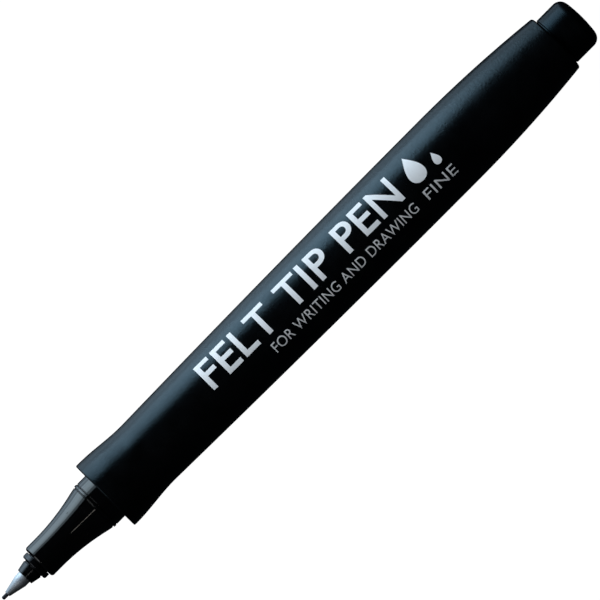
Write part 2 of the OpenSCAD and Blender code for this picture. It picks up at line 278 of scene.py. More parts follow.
class PrintShape(PropertyGroup):
    """Words, drops and places of the print"""

    title: StringProperty(
        name="Title", description="Large generic words on the barrel", default="FELT TIP PEN"
    )
    note: StringProperty(
        name="Note", description="Small generic line under the title", default="FOR WRITING AND DRAWING"
    )
    grade: StringProperty(
        name="Grade", description="Small generic word for the point", default="FINE"
    )
    title_start: length("Title start", "Distance of the title from the barrel's front face", 0.02265)
    title_width: length("Title width", "Length of the title along the barrel", 0.0405)
    title_height: length("Title height", "Height of the title's letters", 0.0049)
    title_weight: number("Title weight", "How much the title's strokes are thickened", 0.011)
    title_base: length("Title base", "Place of the title's baseline round the barrel from the top", -0.00045)
    note_start: length("Note start", "Distance of the note from the barrel's front face", 0.0333)
    note_width: length("Note width", "Length of the note along the barrel", 0.0302)
    note_height: length("Note height", "Height of the note's letters", 0.00178)
    note_base: length("Note base", "Place of the note's baseline round the barrel from the top", -0.00338)
    grade_start: length("Grade start", "Distance of the grade from the barrel's front face", 0.0655)
    grade_width: length("Grade width", "Length of the grade along the barrel", 0.0062)
    drop_start: length("Drop start", "Distance of the ink drop from the barrel's front face", 0.0655)
    drop_height: length("Drop height", "Height of the ink drop", 0.005)
    small_drop_start: length("Small drop start", "Distance of the small drop from that face", 0.0699)
    small_drop_height: length("Small drop height", "Height of the small drop", 0.00225)
    thickness: length("Ink thickness", "How far the print stands proud of the barrel", 0.000012)
    sink: length("Ink sink", "How deep the print is rooted in the barrel", 0.00002)


class Finish(PropertyGroup):
    """Colours, roughness and used places of the pieces"""

    barrel: colour("Barrel", "Colour of the matte barrel", "barrel")
    gloss: colour("Front section", "Colour of the glossy front section", "gloss_black")
    nose: colour("Tip holder", "Colour of the tip holder", "nose_black")
    steel: colour("Sleeve", "Colour of the metal sleeve", "sleeve_steel")
    nib: colour("Nib", "Colour of the inked nib", "nib")
    wick: colour("Wick", "Colour of the inked wick", "wick")
    reservoir: colour("Reservoir", "Colour of the inked reservoir", "reservoir")
    film: colour("Film", "Colour of the reservoir's film", "film")
    breather: colour("Breather tube", "Colour of the breather tube", "breather")
    plug: colour("End plug", "Colour of the end plug", "plug")
    print: colour("Print", "Colour of the printed ink", "print")
    held_length: length("Held length", "Length of the barrel's front part that fingers hold", 0.03)
    inky_start: length("Ink start", "Distance of the sleeve's inkiest place from its mouth", 0.0002)
    inky_end: length("Ink end", "Distance of the sleeve's first clean place from its mouth", 0.0034)
    barrel_roughness: share("Barrel roughness", "Roughness of the matte barrel", 0.26)
    gloss_roughness: share("Gloss roughness", "Roughness of the front section", 0.06)
    nose_roughness: share("Nose roughness", "Roughness of the tip holder", 0.14)
    steel_roughness: share("Sleeve roughness", "Roughness of the metal sleeve", 0.62)
    plug_roughness: share("Plug roughness", "Roughness of the end plug", 0.26)
    print_roughness: share("Print roughness", "Roughness of the printed ink", 0.5)


class Stage(PropertyGroup):
    """Camera, floor and light"""

    camera_distance: length("Camera distance", "Distance of the camera from the marker", 1.37)
    frame_width: length("Frame width", "Width of the view at the marker", 0.09)
    aim: length("Aim", "How far behind the marker's middle the camera points", 0.00158)
    view_depth: length("View depth", "Distance at which the camera stops seeing", 20)
    roll: degrees("Roll", "Turn of the marker in the view", 45.15)
    tilt: degrees("Tilt", "Lean of the camera towards the nib", 2)
    floor_size: length("Floor size", "Width of the pale floor", 4)
    floor_glow: number("Floor glow", "Even brightness of the floor", 1.0)
    floor_shade: share("Floor shade", "How strongly the floor shows shadows", 0.12)
    fill: number("Fill", "Strength of the light from all round", 0.008)
    box_distance: length("Softbox distance", "Distance of the softboxes from the marker's axis", 0.6)
    light_tint: FloatVectorProperty(
        name="Light tint", description="Colour of the soft studio light", default=(0.61, 0.81, 1.0),
        subtype="COLOR", size=3, min=0, max=1
    )


# Profiles and surfaces

def arc(centre, radius, start, end, count=7):
    """Points of a circular arc in the profile plane. Angles are in degrees, from +X towards +R."""
    angle = np.radians(np.linspace(start, end, count))
    return np.column_stack([centre[0] + radius * np.cos(angle), centre[1] + radius * np.sin(angle)])


def front_corner(x, r, radius, count=7):
    """The rounded corner at (x, r) where a front face meets the outside."""
    return arc((x + radius, r - radius), radius, 180, 90, count)


def rear_corner(x, r, radius, count=7):
    """The rounded corner at (x, r) where the outside meets a rear face."""
    return arc((x - radius, r - radius), radius, 90, 0, count)


def around(sides=160):
    """Even angles round the axis."""
    return np.linspace(0, FULL_TURN, sides, endpoint=False)


def profile(*parts):
    """Joins points and arrays of points into one outline and drops the points that repeat."""
    points = np.vstack([np.atleast_2d(part) for part in parts])
    moved = np.linalg.norm(np.diff(points, axis=0), axis=1) > 1e-8
    return points[np.concatenate([[True], moved])]


def supported(points, closed, pad=0.00004):
    """Adds a point close to each corner on a long straight stretch, so that the shading beside the corner
    stays even."""
    following = np.roll(points, -1, axis=0)
    step = following - points
    gap = np.linalg.norm(step, axis=1)
    heading = step / np.maximum(gap, 1e-9)[:, None]
    corner = (heading * np.roll(heading, 1, axis=0)).sum(axis=1) < math.cos(CORNER_ANGLE)
    share_of_gap = (pad / np.maximum(gap, pad))[:, None]
    rows = np.stack([points, points + step * share_of_gap, following - step * share_of_gap], axis=1)
    long = gap > 4 * pad
    keep = np.column_stack([np.ones(len(points), bool), long & corner, long & np.roll(corner, -1)])
    if not closed:
        keep[-1, 1:] = False
    return rows.reshape(-1, 2)[keep.ravel()]


def quads(rows, columns, closed_rows):
    """Corner numbers of a grid's quads. The point in row i and column j has the number i * columns + j."""
    i = np.arange(rows if closed_rows else rows - 1)[:, None]
    j = np.arange(columns)[None, :]
    below = (i + 1) % rows * columns
    beside = (j + 1) % columns
    corners = [i * columns + j, i * columns + beside, below + beside, below + j]
    return np.stack(np.broadcast_arrays(*corners), axis=-1).reshape(-1, 4)


def lathe(points, angles=around(), cut=None):
    """A profile turned about the axis. The point (x, r) at the angle t lies at x, -r sin t, r cos t.

    A profile that starts and ends on the axis is closed by a point at each end, any other by joining its
    last point to its first. cut gives a new radius for each x, r and angle.
    """
    solid = points[0, 1] == 0 and points[-1, 1] == 0
    points = supported(points, not solid)
    rings = points[1:-1] if solid else points
    x = np.repeat(rings[:, :1], len(angles), axis=1)
    r = np.repeat(rings[:, 1:], len(angles), axis=1)
    if cut is not None:
        r = cut(x, r, angles[None, :])
    turned = np.stack([x, -r * np.sin(angles), AXIS_Z + r * np.cos(angles)], axis=-1).reshape(-1, 3)
    faces = [quads(len(rings), len(angles), not solid)]
    if solid:
        poles = np.array([[points[0, 0], 0, AXIS_Z], [points[-1, 0], 0, AXIS_Z]])
        first = np.arange(len(angles))
        second = (first + 1) % len(angles)
        last = (len(rings) - 1) * len(angles)
        front_pole = np.full_like(first, len(turned))
        faces.append(np.column_stack([front_pole, second, first]))
        faces.append(np.column_stack([front_pole + 1, last + first, last + second]))
        turned = np.vstack([turned, poles])
    return outward(turned, faces)


def blade(x0, x1, r0, r1, angle, thickness):
    """A flat fin along the axis: a box from x0 to x1 and from radius r0 to r1, turned to the angle."""
    x, r, side = np.meshgrid([x0, x1], [r0, r1], [-thickness / 2, thickness / 2], indexing="ij")
    x, r, side = x.ravel(), r.ravel(), side.ravel()
    y = -r * np.sin(angle) + side * np.cos(angle)
    z = AXIS_Z + r * np.cos(angle) + side * np.sin(angle)
    faces = np.array([[0, 1, 3, 2], [4, 6, 7, 5], [0, 4, 5, 1], [2, 3, 7, 6], [0, 2, 6, 4], [1, 5, 7, 3]])
    return outward(np.column_stack([x, y, z]), [faces])


def outward(points, faces):
    """Turns all the faces round if they enclose a negative volume, which is the sum over their triangles of
    a . (b x c) / 6."""
    triangles = np.vstack([face[:, [0, k, k + 1]] for face in faces for k in range(1, face.shape[1] - 1)])
    a, b, c = points[triangles[:, 0]], points[triangles[:, 1]], points[triangles[:, 2]]
    volume = np.einsum("ij,ij->i", a - points[0], np.cross(b - points[0], c - points[0])).sum()
    return points, [face[:, ::-1] if volume < 0 else face for face in faces]


def joined(*surfaces):
    """Several surfaces as one, with the corner numbers shifted."""
    starts = np.cumsum([0] + [len(points) for points, _ in surfaces])
    faces = [face + start for (_, faces), start in zip(surfaces, starts) for face in faces]
    return np.vstack([points for points, _ in surfaces]), faces


def make_piece(name, surface, material, body, replaced=()):
    """Makes a smooth mesh object in its place. It rides on its body and stands for the nodes it replaces."""
    points, faces = surface
    widths = np.concatenate([np.full(len(face), face.shape[1]) for face in faces])
    corners = np.concatenate([face.ravel() for face in faces])
    mesh = bpy.data.meshes.new(name)
    mesh.vertices.add(len(points))
    mesh.vertices.foreach_set("co", points.ravel())
    mesh.loops.add(len(corners))
    mesh.loops.foreach_set("vertex_index", corners.astype(np.int32))
    mesh.polygons.add(len(widths))
    mesh.polygons.foreach_set("loop_start", np.concatenate([[0], np.cumsum(widths)[:-1]]).astype(np.int32))
    mesh.update(calc_edges=True)
    mesh.validate()
    mesh.shade_smooth()
    mesh.set_sharp_from_angle(angle=SHARP_ANGLE)
    mesh.materials.append(material)
    piece = bpy.data.objects.new(name, mesh)
    bpy.context.scene.collection.objects.link(piece)
    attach(piece, body)
    for node in replaced:
        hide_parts(node)


# Materials

class Surface:
    """One material: a Principled shader, with patterns in the piece's own coordinates feeding it."""

    def __init__(self, name, **constants):
        self.material = bpy.data.materials.new(name)
        self.material.use_nodes = True
        self.tree = self.material.node_tree
        self.tree.nodes.clear()
        output = self.tree.nodes.new("ShaderNodeOutputMaterial")
        self.shader = self.tree.nodes.new("ShaderNodeBsdfPrincipled")
        self.place = self.tree.nodes.new("ShaderNodeTexCoord").outputs["Object"]
        self.tree.links.new(self.shader.outputs["BSDF"], output.inputs["Surface"])
        for socket, value in constants.items():
            self.shader.inputs[socket.replace("_", " ")].default_value = value

    def node(self, kind, links=(), **values):
        """A new node with its sockets linked, in pairs of socket and source, and its values set."""
        made = self.tree.nodes.new(kind)
        for name, value in values.items():
            setattr(made, name, value)
        for socket, source in links:
            if isinstance(source, bpy.types.NodeSocket):
                self.tree.links.new(source, made.inputs[socket])
            else:
                made.inputs[socket].default_value = source
        return made

    def noise(self, size, detail=3.0, roughness=0.55, distortion=0.0):
        """Cloudy noise whose features are about that size in metres, one size or one along each axis."""
        size = np.broadcast_to(size, 3)
        scaled = self.node("ShaderNodeMapping", [("Vector", self.place), ("Scale", tuple(1 / size))])
        cloud = self.node("ShaderNodeTexNoise", [
            ("Vector", scaled.outputs[0]), ("Scale", 1.0), ("Detail", detail), ("Roughness", roughness),
            ("Distortion", distortion),
        ])
        return cloud.outputs[0]

    def cells(self, size):
        """Distance from the nearest of scattered dots that are about that size apart."""
        scaled = self.node("ShaderNodeMapping", [("Vector", self.place), ("Scale", (1 / size,) * 3)])
        dots = self.node("ShaderNodeTexVoronoi", [("Vector", scaled.outputs[0]), ("Scale", 1.0)])
        return dots.outputs["Distance"]

    def along(self):
        """Place along the marker's axis."""
        return self.node("ShaderNodeSeparateXYZ", [("Vector", self.place)]).outputs["X"]

    def remap(self, source, low, high, to_low=0.0, to_high=1.0):
        """Brings the part of a pattern between low and high to a new range, and holds it there."""
        ends = [("From Min", low), ("From Max", high), ("To Min", to_low), ("To Max", to_high)]
        return self.node("ShaderNodeMapRange", [("Value", source), *ends], clamp=True).outputs[0]

    def spread(self, source, to_low=0.0, to_high=1.0):
        """Brings a cloudy pattern to a new range. Most of such a pattern lies between 0.3 and 0.7."""
        return self.remap(source, 0.3, 0.7, to_low, to_high)

    def combine(self, operation, first, second):
        """Two patterns joined by arithmetic."""
        return self.node("ShaderNodeMath", [(0, first), (1, second)], operation=operation).outputs[0]

    def tint(self, factor, first, second):
        """Base colour that goes from one colour to the other with the pattern."""
        links = [(MIX_FACTOR, factor), (MIX_FIRST, (*first, 1)), (MIX_SECOND, (*second, 1))]
        mix = self.node("ShaderNodeMix", links, data_type="RGBA")
        self.tree.links.new(mix.outputs[MIX_RESULT], self.shader.inputs["Base Color"])

    def blacken(self, factor, tone, deep=0.05, pale=0.15):
        """Base colour of a black plastic. The tone is what the eye sees, shine included, so the body under
        the shine goes with the pattern from a deep to a paler share of it."""
        self.tint(factor, shade(tone, deep), shade(tone, pale))

    def roughen(self, source):
        """Feeds the roughness."""
        self.tree.links.new(source, self.shader.inputs["Roughness"])

    def gloss(self, source):
        """Feeds the strength of the surface reflection."""
        self.tree.links.new(source, self.shader.inputs["Specular IOR Level"])

    def relief(self, *layers):
        """Chains bumps, each a pattern with its height in metres, and returns the finished material."""
        normal = None
        for source, height in layers:
            links = [("Height", source), ("Distance", height), ("Strength", 1.0)]
            if normal is not None:
                links.append(("Normal", normal))
            normal = self.node("ShaderNodeBump", links).outputs[0]
        self.tree.links.new(normal, self.shader.inputs["Normal"])
        return self.material


def shade(tone, factor):
    """A colour made lighter or darker, by one factor or by one for each channel."""
    return tuple(min(1.0, part * times) for part, times in zip(tone, np.broadcast_to(factor, 3)))


def matte_moulding(finish):
    """Fine etched matte plastic: a tight grain, faint flow waves and lengthwise scuffs. It is smoother and
    reflects less where fingers hold it."""
    front, _, _ = reach("barrel")
    surface = Surface("barrel_matte_plastic", Specular_Tint=(0.64, 0.90, 1.0, 1.0), IOR=1.5)
    mottle = surface.noise(0.0035, detail=4)
    grain = surface.noise(0.0004, detail=3, roughness=0.65)
    scuffs = surface.noise((0.006, 0.00012, 0.00012), detail=2)
    rough = finish.barrel_roughness
    held_end = front + finish.held_length
    held = surface.remap(surface.along(), front, held_end, -0.05, 0.0)
    surface.gloss(surface.remap(surface.along(), front, held_end, 0.2, 0.32))
    mottled = surface.spread(mottle, rough - 0.03, rough + 0.04)
    scuffed = surface.remap(scuffs, 0.66, 0.74, 0.0, -0.06)
    surface.roughen(surface.combine("ADD", surface.combine("ADD", mottled, scuffed), held))
    surface.blacken(surface.spread(mottle), finish.barrel)
    waves = surface.noise((0.009, 0.004, 0.004), detail=1)
    return surface.relief((waves, 0.00001), (grain, 0.000028), (scuffs, 0.000003))


def polished_moulding(finish):
    """Polished black plastic with slight waviness, hairline rubs and finger smears."""
    surface = Surface(
        "section_gloss_plastic", Specular_Tint=(1.0, 0.96, 0.88, 1.0), IOR=1.5, Specular_IOR_Level=0.55
    )
    smears = surface.noise((0.004, 0.0015, 0.0015), detail=4, distortion=0.4)
    rubs = surface.noise((0.005, 0.00009, 0.00009), detail=2)
    rough = finish.gloss_roughness
    smeared = surface.remap(smears, 0.4, 0.75, rough - 0.01, rough + 0.05)
    rubbed = surface.remap(rubs, 0.62, 0.72, 0.0, 0.06)
    surface.roughen(surface.combine("ADD", smeared, rubbed))
    surface.blacken(surface.remap(smears, 0.3, 0.8), finish.gloss)
    waves = surface.noise(0.0022, detail=1)
    return surface.relief((waves, 0.0000015), (rubs, 0.0000008))


def satin_moulding(finish):
    """Satin black plastic of the stepped tip holder, with fine turning marks copied from its mould."""
    surface = Surface("holder_satin_plastic", IOR=1.5, Specular_IOR_Level=0.31)
    haze = surface.noise(0.0009, detail=3)
    rings = surface.noise((0.00006, 0.004, 0.004), detail=2)
    rough = finish.nose_roughness
    surface.roughen(surface.spread(haze, rough - 0.03, rough + 0.05))
    surface.blacken(surface.spread(haze), finish.nose)
    return surface.relief((rings, 0.0000012), (surface.noise(0.0002), 0.000002))


def drawn_steel(finish):
    """Turned steel: fine rings round the cone, long draw lines, and ink that thins out from the mouth."""
    front, _, _ = reach("metal_sleeve")
    surface = Surface("sleeve_drawn_steel", Metallic=1.0)
    rings = surface.noise((0.000035, 0.003, 0.003), detail=3)
    cloud = surface.noise(0.0011, detail=4)
    rough = finish.steel_roughness
    worn = surface.combine("ADD", rings, cloud)
    surface.roughen(surface.remap(worn, 0.7, 1.3, rough - 0.06, rough + 0.08))
    inky = surface.remap(surface.along(), front + finish.inky_start, front + finish.inky_end, 0.62, 0.0)
    stain = surface.combine("MAXIMUM", inky, surface.remap(cloud, 0.55, 0.85, 0.0, 0.2))
    surface.tint(stain, shade(finish.steel, 0.95), shade(finish.steel, 0.2))
    return surface.relief((rings, 0.0000003), (surface.noise((0.004, 0.00008, 0.00008)), 0.0000002))


def porous_nib(finish):
    """Hard porous nib, wet with black ink: open pores under a thin wet coat."""
    surface = Surface(
        "nib_inked_fibre", Coat_Weight=0.1, Coat_Roughness=0.25, Roughness=0.6, Specular_IOR_Level=0.3
    )
    pores = surface.cells(0.00005)
    streaks = surface.noise((0.0009, 0.00005, 0.00005), detail=3)
    surface.tint(surface.spread(streaks), finish.nib, shade(finish.nib, 2.2))
    return surface.relief((pores, 0.000008), (streaks, 0.000006))


def bonded_fibre(name, tone, dry):
    """Fibres bonded side by side along the axis, unevenly soaked with ink. dry is how many times lighter than
    the tone the dry patches are."""
    surface = Surface(name, Roughness=0.9, Sheen_Weight=0.25, Sheen_Roughness=0.5)
    fibres = surface.noise((0.006, 0.00006, 0.00006), detail=3, roughness=0.7)
    soak = surface.noise((0.007, 0.003, 0.003), detail=3)
    filled = surface.spread(fibres, 0.5, 1.0)
    wet = surface.combine("MULTIPLY", filled, surface.spread(soak))
    surface.tint(wet, shade(tone, dry), tone)
    return surface.relief((fibres, 0.00003), (soak, 0.00005))


def clear_wrap(name, tone, ripple):
    """Thin clear plastic with a little haze and slack ripples of the given size."""
    surface = Surface(name, Transmission_Weight=0.75, IOR=1.45, Coat_Weight=0.2)
    ripples = surface.noise(ripple, detail=2)
    surface.roughen(surface.spread(ripples, 0.12, 0.3))
    surface.tint(surface.remap(ripples, 0.35, 0.65), tone, shade(tone, 0.85))
    return surface.relief((ripples, 0.00002))


def satin_plug(finish):
    """Satin black plastic of the end plug, with a softer grain than the barrel's."""
    surface = Surface(
        "plug_satin_plastic", Specular_Tint=(0.50, 0.84, 1.0, 1.0), IOR=1.5, Specular_IOR_Level=0.2
    )
    grain = surface.noise(0.0003, detail=2)
    mottle = surface.noise(0.002, detail=3)
    rough = finish.plug_roughness
    surface.roughen(surface.spread(mottle, rough - 0.04, rough + 0.04))
    surface.blacken(surface.spread(mottle), finish.plug)
    return surface.relief((grain, 0.000006), (surface.noise(0.003, detail=1), 0.00001))


def pad_print(finish):
    """Silver-white pad-printed ink: thin and slightly uneven, with pinholes and worn patches."""
    surface = Surface("print_silver_white_ink", IOR=1.45)
    uneven = surface.noise(0.0006, detail=4)
    pinholes = surface.remap(surface.cells(0.00035), 0.03, 0.08, 0.5, 0.0)
    worn = surface.combine("MAXIMUM", pinholes, surface.remap(uneven, 0.55, 0.8, 0.0, 0.35))
    surface.tint(worn, shade(finish.print, (1.3, 1.2, 1.12)), shade(finish.print, (0.94, 0.87, 0.81)))
    rough = finish.print_roughness
    surface.roughen(surface.spread(uneven, rough - 0.05, rough + 0.1))
    return surface.relief((uneven, 0.000006))


# Shapes of the pieces

def barrel_radius(x, shape):
    """Outer radius of the barrel: a shallow parabola on each side of the fattest place, plus a cosine at the
    front that falls from the rim to the waist and makes the finger flare."""
    front, back, swell = reach("barrel")
    swell -= shape.ink_room
    fattest = front + shape.swell_from_front
    before = shape.front_drop * ((fattest - x) / shape.swell_from_front) ** 2
    behind = shape.tail_drop * ((x - fattest) / (back - fattest)) ** 2
    wave = shape.flare_height / 2 * (1 + np.cos(np.pi * (x - front) / shape.flare_length))
    return swell - np.where(x < fattest, before, behind) + np.where(x < front + shape.flare_length, wave, 0)


def barrel_surface(shape):
    """The barrel's profile: rounded rims, the bowed body line, two sockets, the stop web and the chamber,
    with ribs along the chamber's wall."""
    front, back, _ = reach("barrel")
    _, tail_end, _ = reach("front_section")
    stop = tail_end + shape.stop_gap
    chamber = stop + shape.stop_length
    shoulder = back - shape.rear_socket_depth
    slope = math.degrees(math.atan(2 * shape.tail_drop / (back - front - shape.swell_from_front)))
    body = np.linspace(front + shape.front_edge, back - shape.rear_edge, BARREL_ROWS)
    body_radius = barrel_radius(body, shape)
    rear_centre = (body[-1], body_radius[-1] - shape.rear_edge)
    chamfer = shape.mouth_chamfer
    socket = shape.rear_socket
    outline = profile(
        front_corner(front, body_radius[0], shape.front_edge, count=9),
        np.column_stack([body, body_radius])[1:-1],
        arc(rear_centre, shape.rear_edge, 90 - slope, 0, count=11),
        [(back, socket + chamfer), (back - chamfer, socket), (shoulder, socket)],
        [(shoulder, shape.chamber), (chamber, shape.chamber), (chamber, shape.stop_radius)],
        [(stop, shape.stop_radius), (stop, shape.front_socket), (front + chamfer, shape.front_socket)],
        (front, shape.front_socket + chamfer),
    )
    rib_front = chamber - BLADE_ROOT
    rib_back = shoulder - shape.rib_gap
    rib_root = shape.chamber + BLADE_ROOT
    angles = shape.rib_turn + FULL_TURN * (np.arange(shape.ribs) + 0.5) / max(shape.ribs, 1)
    ribs = [
        blade(rib_front, rib_back, shape.rib_inner, rib_root, angle, shape.rib_thickness) for angle in angles
    ]
    return joined(lathe(outline, around(192)), *ribs)


def groove(x, r, width):
    """A half-round groove cut into a line of radius r."""
    return arc((x + width / 2, r), width / 2, 180, 360)


def raised_rings(starts, line, ring, ring_length):
    """Raised rings on a plain line: a ramp up, a flat and a ramp down, for each start."""
    steps = np.array([0, SMALL_CHAMFER, ring_length - SMALL_CHAMFER, ring_length])
    radii = np.array([line, ring, ring, line])
    return [np.column_stack([start + steps, radii]) for start in starts]


def section_surface(shape, holder_radius):
    """The front section's profile: slim front, flare, grooved bead, land, and the hollow tail with two rings.

    The flare is a parabola of its run u from 0 to 1, less a second parabola that levels off its end:
    u^2 - ease * max(u - level, 0)^2. Four vent slots are cut into the tail, and four fins hold the guide.
    """
    front, back, bead_radius = reach("front_section")
    rim, _, _ = reach("barrel")
    _, holder_back, _ = reach("tip_holder")
    _, _, wick_radius = reach("wick")
    bead = rim - shape.bead_from_rim
    bead_end = bead + shape.bead_length
    flare = np.linspace(front + shape.slim_length, bead - shape.groove, CURVE_ROWS)
    run = (flare - flare[0]) / (bead - flare[0])
    swell = run ** 2 - shape.flare_ease * np.maximum(run - shape.level_from, 0) ** 2
    flare_radius = shape.slim_radius + (shape.flare_radius - shape.slim_radius) * swell
    land_end = rim + shape.land_depth
    guide_end = back - shape.guide_gap
    bore = wick_radius + shape.wick_room
    cavity = holder_back + shape.web
    tail_start = land_end + SMALL_CHAMFER
    tail_edge = shape.tail_radius - SMALL_CHAMFER
    ring_starts = (rim + shape.first_ring, rim + shape.second_ring)
    outline = profile(
        (front, holder_radius),
        front_corner(front, shape.slim_radius, shape.front_edge, count=9),
        np.column_stack([flare, flare_radius]),
        groove(bead - shape.groove, flare_radius[-1], shape.groove),
        front_corner(bead, bead_radius, shape.bead_edge),
        rear_corner(bead_end, bead_radius, shape.bead_edge),
        groove(bead_end, shape.land_radius, shape.groove),
        [(land_end, shape.land_radius), (tail_start, shape.tail_radius)],
        *raised_rings(ring_starts, shape.tail_radius, shape.ring_radius, shape.ring_length),
        [(back - SMALL_CHAMFER, shape.tail_radius), (back, tail_edge)],
        [(back, shape.cavity), (cavity, shape.cavity), (cavity, shape.guide_radius)],
        [(guide_end, shape.guide_radius), (guide_end, bore), (holder_back, bore)],
        (holder_back, holder_radius),
    )
    slot_start = rim + shape.slot_from_rim
    slot_floor = shape.ring_radius - shape.slot_depth
    half_angle = math.asin(shape.slot_width / 2 / shape.ring_radius)
    # The slots' walls rise over the rest of the half angle.
    flat_part = 0.98
    wall_part = (1 + flat_part) / 2
    quarter = FULL_TURN / 4
    slots = quarter * np.arange(4)
    edges = slots[:, None] + half_angle * np.array([-1, -flat_part, flat_part, 1])
    angles = np.unique(np.concatenate([around(), edges.ravel() % FULL_TURN]))

    def cut(x, r, angle):
        turned = np.abs((angle + quarter / 2) % quarter - quarter / 2)
        inside = (turned < half_angle * wall_part) & (x > slot_start)
        return np.where(inside, np.minimum(r, slot_floor), r)

    fin_front = cavity - BLADE_ROOT
    fin_back = guide_end - shape.fin_gap
    fin_inner = shape.guide_radius - BLADE_ROOT
    fin_outer = shape.cavity + BLADE_ROOT
    fins = [
        blade(fin_front, fin_back, fin_inner, fin_outer, angle, shape.fin_thickness)
        for angle in slots + quarter / 2
    ]
    return joined(lathe(outline, angles, cut=cut), *fins)


def holder_surface(shape):
    """The tip holder's profile: lip, short cone, groove, collar and the tail inside the section."""
    front, back, collar_radius = reach("tip_holder")
    _, sleeve_back, sleeve_radius = reach("metal_sleeve")
    _, _, wick_radius = reach("wick")
    collar_end = back - shape.tail_length
    collar = collar_end - shape.collar_length
    bore = wick_radius + shape.wick_room
    tail = shape.tail_radius
    chamfer = shape.tail_chamfer
    return lathe(profile(
        (front, sleeve_radius),
        front_corner(front, shape.lip, shape.edge),
        groove(collar - shape.groove, shape.nose_root, shape.groove),
        front_corner(collar, collar_radius, shape.collar_edge),
        rear_corner(collar_end, collar_radius, shape.edge),
        [(collar_end, tail), (back - chamfer, tail), (back, tail - chamfer)],
        [(back, bore), (sleeve_back, bore), (sleeve_back, sleeve_radius)],
    ), around(128))


def sleeve_surface(shape):
    """The sleeve's profile: rolled mouth, long cone, parabolic shoulder and the tube, with a cone inside."""
    front, back, tube = reach("metal_sleeve")
    lip = shape.mouth_edge
    shoulder = front + shape.cone_length
    inner_mouth = shape.nib_radius + shape.nib_room
    bore = tube - shape.sleeve_wall
    blend = np.linspace(0, 1, 8)[1:]
    shoulder_line = np.column_stack([
        shoulder + shape.shoulder_blend * blend, tube - lip * (1 - blend) ** 2
    ])
    return lathe(profile(
        front_corner(front, shape.mouth, lip),
        (shoulder, tube - lip),
        shoulder_line,
        [(back, tube), (back, bore), (shoulder + shape.shoulder_lag, bore)],
        [(front + shape.mouth_bore, inner_mouth), (front, inner_mouth)],
    ), around(128))


def nib_surface(shape):
    """The nib's profile: a worn flat, a round point, a short straight, a cone and the rod behind it."""
    front, back, rod = reach("nib")
    dome = shape.nib_radius - shape.nib_tip
    straight_end = front + shape.nib_straight
    return lathe(profile(
        (front, 0),
        front_corner(front, shape.nib_radius, dome, count=13),
        [(straight_end, shape.nib_radius), (straight_end + shape.nib_cone, rod)],
        [(back, rod), (back, 0)],
    ), around(96))


def plug_surface(shape):
    """The plug's profile: ringed spigot, shadow groove, straight head, rounded edge and a shallow dome.

    The dome is an arc of a large circle, less a small ring-shaped moulding mark that falls off like a bell
    curve. Inside is a cross of blades that reaches forward to the reservoir.
    """
    tip, back, _ = reach("end_plug")
    _, rim, _ = reach("barrel")
    spigot = rim - shape.spigot_length
    inner = shape.head_radius - shape.head_edge
    curve = (inner ** 2 + shape.dome ** 2) / (2 * shape.dome)
    r = np.linspace(inner, 0, CURVE_ROWS)
    gate = shape.gate_depth * np.exp(-(((r - shape.gate_radius) / shape.gate_width) ** 2))
    dome = np.column_stack([back - curve + np.sqrt(curve ** 2 - r ** 2) - gate, r])
    hollow_end = back - shape.end_wall
    neck_radius = shape.head_radius - shape.neck_depth
    neck_end = rim + shape.neck_length
    ring_starts = (spigot + shape.first_ring, spigot + shape.second_ring)
    outline = profile(
        (hollow_end, 0),
        [(hollow_end, shape.hollow), (spigot, shape.hollow)],
        [(spigot, shape.spigot_radius - SMALL_CHAMFER), (spigot + SMALL_CHAMFER, shape.spigot_radius)],
        *raised_rings(ring_starts, shape.spigot_radius, shape.ring_radius, shape.ring_length),
        [(rim - shape.neck_slope, shape.spigot_radius), (rim, neck_radius)],
        (neck_end - shape.neck_slope, neck_radius),
        front_corner(neck_end, shape.head_radius, shape.neck_edge, count=4),
        rear_corner(back - shape.dome, shape.head_radius, shape.head_edge, count=24),
        dome,
    )
    rooted_end = hollow_end + BLADE_ROOT
    rooted_radius = shape.hollow + BLADE_ROOT
    forward_radius = shape.hollow - shape.cross_inset
    blades = []
    for angle in FULL_TURN * np.arange(4) / 4:
        blades.append(blade(spigot, rooted_end, 0, rooted_radius, angle, shape.cross))
        blades.append(blade(tip, spigot + BLADE_ROOT, 0, forward_radius, angle, shape.cross))
    return joined(lathe(outline), *blades)


def wick_surface(shape):
    """A plain rod with a blunt point at the rear."""
    front, back, radius = reach("wick")
    return lathe(profile(
        [(front, 0), (front, radius), (back - shape.wick_point, radius), (back, shape.wick_tip), (back, 0)]
    ), around(64))


def reservoir_surface(shape):
    """A rod of fibre with a blind socket for the wick and a groove along one side for the breather tube.

    The groove is cut where the outer radius would enter the circle round the tube. There the radius is
    r = d cos t - sqrt(g^2 - (d sin t)^2), with the tube's place d and the groove's radius g.
    """
    front, back, radius = reach("reservoir_core")
    _, wick_back, wick_radius = reach("wick")
    _, _, tube_radius = reach("breather_tube")
    place = lift_of("breather_tube")
    groove_radius = tube_radius + shape.tube_gap
    # A ray from the axis only touches the groove's circle at its half angle, so the last cut lies just
    # inside that. The limit of the cut is eased, because the angles are rounded.
    half_angle = math.asin(groove_radius / place) * 0.999
    rounding = 1.0001
    fine = np.linspace(-half_angle, half_angle, 17)
    coarse = np.linspace(half_angle, FULL_TURN - half_angle, 120)[1:-1]
    angles = np.unique(np.concatenate([fine, coarse]) % FULL_TURN)

    def cut(x, r, angle):
        turned = (angle + math.pi) % FULL_TURN - math.pi
        inside = groove_radius ** 2 - (place * np.sin(turned)) ** 2
        floor = place * np.cos(turned) - np.sqrt(np.maximum(inside, 0))
        grooved = (np.abs(turned) <= half_angle * rounding) & (inside > 0)
        return np.where(grooved, np.minimum(r, floor), r)

    socket = wick_radius + shape.socket_gap
    return lathe(profile(
        [(wick_back, 0), (wick_back, socket), (front, socket), (front, radius), (back, radius), (back, 0)]
    ), angles, cut=cut)


